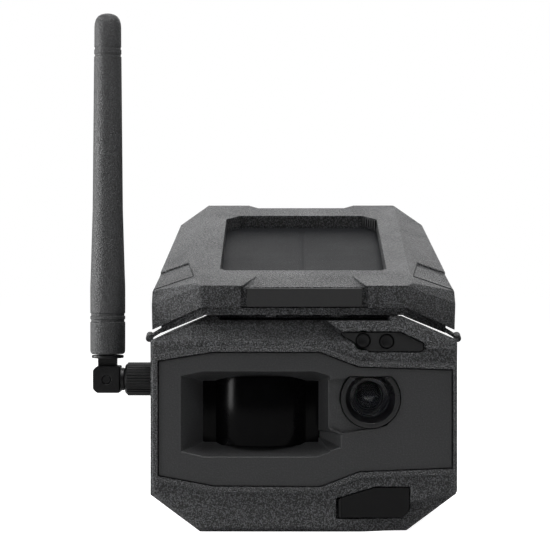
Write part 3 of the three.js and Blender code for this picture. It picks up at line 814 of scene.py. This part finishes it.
@dataclass
class Antenna:
    """The screwed connector, its folding elbow and the whip.

    Attributes:
        nut_radius: The nut's radius over its ridges.
        nut_bore: The radius of the nut's hole.
        barrel_drop: How far the nut's barrel lies under its full radius.
        face_drop: How far the rim of each end face does.
        chamfer: How long the slope between them is.
        ridges: How many ridges go round the nut.
        ridge_drop: How far the middle of a ridge lies under the nut's radius.
        ridge_radius: A ridge's own radius.
        ridge_end: What a ridge leaves free at each end of the nut.
        elbow_edge: How wide the elbow's rounded edges are.
        foot_edge: How wide the whip foot's are.
        pin: The elbow pin's radius and place along it at each corner, in millimetres.
        whip: The whip's radius and height at each corner, in millimetres.
    """

    nut_radius: float = 5.7 * MM
    nut_bore: float = 3.5 * MM
    barrel_drop: float = 0.35 * MM
    face_drop: float = 0.9 * MM
    chamfer: float = 0.7 * MM
    ridges: int = 36
    ridge_drop: float = 0.4 * MM
    ridge_radius: float = 0.36 * MM
    ridge_end: float = 0.8 * MM
    elbow_edge: float = 0.4 * MM
    foot_edge: float = 0.25 * MM
    pin: tuple[Point, ...] = (
        (0.0, -4.4), (1.2, -4.4), (1.43, -4.2), (1.43, -2.0), (1.1, -1.9), (1.1, 1.9), (1.43, 2.0),
        (1.43, 4.2), (1.2, 4.4), (0.0, 4.4),
    )
    whip: tuple[Point, ...] = (
        (2.7, 57.2), (5.35, 57.2), (5.75, 57.6), (5.9, 58.2), (5.9, 67.9), (5.62, 68.15), (5.62, 68.8),
        (5.9, 69.05), (5.9, 69.9), (5.62, 70.15), (5.62, 70.8), (5.9, 71.05), (5.9, 80.0), (5.75, 84.0),
        (5.1, 106.0), (4.62, 157.6), (4.4, 157.8), (4.4, 158.4), (4.6, 158.6), (4.58, 160.0), (4.38, 160.2),
        (4.38, 160.8), (4.55, 161.0), (4.52, 167.6), (4.4, 169.0), (4.0, 170.3), (3.3, 171.3), (2.3, 171.9),
        (1.2, 172.2), (0.0, 172.3), (0.0, 164.3), (2.7, 164.3),
    )

    def build(self, dress: Dresser) -> None:
        """Build the ridged nut and the turned whip, and dress the elbow.

        Args:
            dress: Gives the pieces their finish.
        """
        nodes = dress.frame["nodes"]
        self.nut(dress)
        plan = (("antenna_elbow", "elbow_yoke", self.elbow_edge), ("whip_base", "whip_foot", self.foot_edge))
        for cad, name, width in plan:
            made = refined(nodes[cad], name, width)
            dress.piece(made, Slot.ANTENNA, dress.body_of(cad), (cad,))
        axis = middle_of("whip_sleeve")
        loop = [(r * MM, z * MM) for r, z in self.whip]
        sleeve = turned("whip_cover", loop, (axis.x, axis.y, 0.0), Along.Z, 72)
        dress.piece(sleeve, Slot.WHIP, dress.body_of("whip_sleeve"), ("whip_sleeve",))
        spot = middle_of("elbow_pin")
        ends = [(r * MM, y * MM) for r, y in self.pin]
        pin = turned("elbow_pin_turned", ends, spot, Along.Y, 40)
        dress.piece(pin, Slot.ANTENNA, dress.body_of("elbow_pin"), ("elbow_pin",))
        dress.cad(Slot.BRASS, "whip_element", "antenna_jack")

    def nut(self, dress: Dresser) -> None:
        """Build the chamfered nut and the ridges round it."""
        low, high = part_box("antenna_nut")
        axis = middle_of("antenna_nut")
        start, end = low[0], high[0]
        side = self.nut_radius - self.barrel_drop
        face = self.nut_radius - self.face_drop
        profile = [
            (self.nut_bore, start), (face, start), (side, start + self.chamfer), (side, end - self.chamfer),
            (face, end), (self.nut_bore, end),
        ]
        barrel = turned("nut_barrel", profile, (0.0, axis.y, axis.z), Along.X, 72)
        body = dress.body_of("antenna_nut")
        dress.piece(barrel, Slot.ANTENNA, body, ("antenna_nut",))
        values = {
            "Count": self.ridges,
            "Ring Radius": self.nut_radius - self.ridge_drop,
            "Ridge Radius": self.ridge_radius,
            "Length": end - start - 2 * self.ridge_end,
            "Material": dress.materials[Slot.ANTENNA],
        }
        place = Matrix.Translation(axis) @ Along.X.value
        dress.piece(grown("nut_ridges", ring_of_ridges(), values, place), Slot.ANTENNA, body)


@dataclass
class Insides:
    """The boards, the battery and the cards inside the body."""

    board: tuple[str, ...] = ("main_board", "card_board")

    def build(self, dress: Dresser) -> None:
        """Dress the inner pieces.

        Args:
            dress: Gives the pieces their finish.
        """
        dress.cad(Slot.BOARD, *self.board)
        dress.cad(Slot.STEEL, "cellular_modem")
        dress.cad(Slot.COMPONENT, "card_socket", "memory_card")
        dress.cad(Slot.CARD, "sim_card")
        dress.cad(Slot.BATTERY, "battery_pack")


# --- Studio ---------------------------------------------------------------------------------------


@dataclass(frozen=True)
class Lamp:
    """An oblong soft light.

    Attributes:
        name: The light's name.
        spot: Where it hangs.
        aim: The point that it faces.
        size: Its two sides.
        power: Its power in watts.
    """

    name: str
    spot: Triple
    aim: Triple
    size: Point
    power: float

    def hang(self) -> None:
        """Hang the light at its spot, turned to its aim."""
        data = bpy.data.lights.new(self.name, "AREA")
        data.shape = "RECTANGLE"
        data.size, data.size_y = self.size
        data.energy = self.power
        made = bpy.data.objects.new(self.name, data)
        made.location = self.spot
        made.rotation_euler = (Vector(self.spot) - Vector(self.aim)).to_track_quat("Z", "Y").to_euler()
        bpy.context.scene.collection.objects.link(made)


@dataclass
class Studio:
    """The camera, the pale floor and the soft lights.

    Attributes:
        eye: Where the camera stands.
        turn: How far it is turned from square on, in radians.
        lens: Its focal length in millimetres, for a sensor of the given width.
        sensor: The sensor's width in millimetres.
        ambient: How bright the even light from all round is.
        floor_half: Half the floor's side.
        floor_drop: How far the floor lies under the base.
        floor_tone: The floor's grey.
        floor_rough: The floor's roughness.
        floor_glow: How much brighter the floor looks to the camera.
        lamps: The soft lights.
    """

    eye: Triple = (-5.8 * MM, -610.0 * MM, 83.85 * MM)
    turn: float = math.radians(0.3675)
    lens: float = 112.26
    sensor: float = 36.0
    ambient: float = 0.05
    floor_half: float = 6.0
    floor_drop: float = 0.2 * MM
    floor_tone: float = 0.6
    floor_rough: float = 0.9
    floor_glow: float = 0.97
    lamps: tuple[Lamp, ...] = (
        Lamp("back_light", (0.0, 0.9, 0.75), (0.0, 0.0, 0.1), (1.3, 0.7), 6.0),
        Lamp("top_light", (0.05, -0.12, 0.95), (0.0, 0.0, 0.05), (0.35, 0.2), 6.0),
        Lamp("front_light", (0.1, -0.6, 0.8), (0.0, -0.05, 0.03), (0.9, 0.2), 3.2),
        Lamp("left_light", (-0.8, 0.1, 0.22), (0.0, 0.0, 0.09), (0.2, 0.7), 8.5),
        Lamp("left_front_light", (-0.85, -0.5, 0.06), (0.0, -0.05, 0.05), (0.15, 0.5), 4.5),
        Lamp("right_light", (0.85, 0.0, 0.35), (0.0, 0.0, 0.08), (0.15, 0.6), 1.0),
    )

    def build(self) -> None:
        """Set up the whole studio."""
        self.camera()
        self.floor()
        self.world()
        for lamp in self.lamps:
            lamp.hang()
        bpy.context.scene.view_settings.view_transform = "Standard"

    def camera(self) -> None:
        """Place the camera level, at the viewing angle."""
        data = bpy.data.cameras.new("camera")
        data.lens = self.lens
        data.sensor_width = self.sensor
        data.clip_start = 0.01
        made = bpy.data.objects.new("camera", data)
        made.location = self.eye
        made.rotation_euler = (math.radians(90), 0.0, self.turn)
        bpy.context.scene.collection.objects.link(made)
        bpy.context.scene.camera = made

    def floor(self) -> None:
        """Lay the pale floor just under the base."""
        shape = bmesh.new()
        bmesh.ops.create_grid(shape, x_segments=2, y_segments=2, size=self.floor_half)
        mesh = bpy.data.meshes.new("floor")
        shape.to_mesh(mesh)
        shape.free()
        mesh.transform(Matrix.Translation((0, 0, -self.floor_drop)))
        made = new_object("floor", mesh)
        paint = bpy.data.materials.new("pale_floor")
        paint.use_nodes = True
        shader = paint.node_tree.nodes["Principled BSDF"]
        shader.inputs["Base Color"].default_value = (*(self.floor_tone,) * 3, 1.0)
        shader.inputs["Roughness"].default_value = self.floor_rough
        shader.inputs["Emission Color"].default_value = (1.0, 1.0, 1.0, 1.0)
        path = node(paint.node_tree, "ShaderNodeLightPath")
        glow = node(paint.node_tree, "ShaderNodeMath", operation="MULTIPLY")
        glow.inputs[1].default_value = self.floor_glow
        paint.node_tree.links.new(path.outputs["Is Camera Ray"], glow.inputs[0])
        paint.node_tree.links.new(glow.outputs[0], shader.inputs["Emission Strength"])
        mesh.materials.append(paint)

    def world(self) -> None:
        """Surround the object with even light, and show white behind it."""
        world = bpy.data.worlds.new("studio")
        world.use_nodes = True
        bpy.context.scene.world = world
        tree = world.node_tree
        background = tree.nodes["Background"]
        path = node(tree, "ShaderNodeLightPath")
        strength = node(tree, "ShaderNodeMapRange")
        strength.inputs["To Min"].default_value = self.ambient
        strength.inputs["To Max"].default_value = 1.0
        background.inputs["Color"].default_value = (1.0, 1.0, 1.0, 1.0)
        tree.links.new(path.outputs["Is Camera Ray"], strength.inputs["Value"])
        tree.links.new(strength.outputs["Result"], background.inputs["Strength"])


def main() -> None:
    """Build the trail camera around its frame."""
    logging.basicConfig(level=logging.INFO, format="%(name)s: %(message)s")
    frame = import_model()
    Studio().build()
    dress = Dresser(frame)
    for assembly in (Casing(), Eyes(), ButtonPod(), SolarHead(), Antenna(), Insides()):
        assembly.build(dress)
        LOG.info("%s done", type(assembly).__name__)


if __name__ == "__main__":
    main()
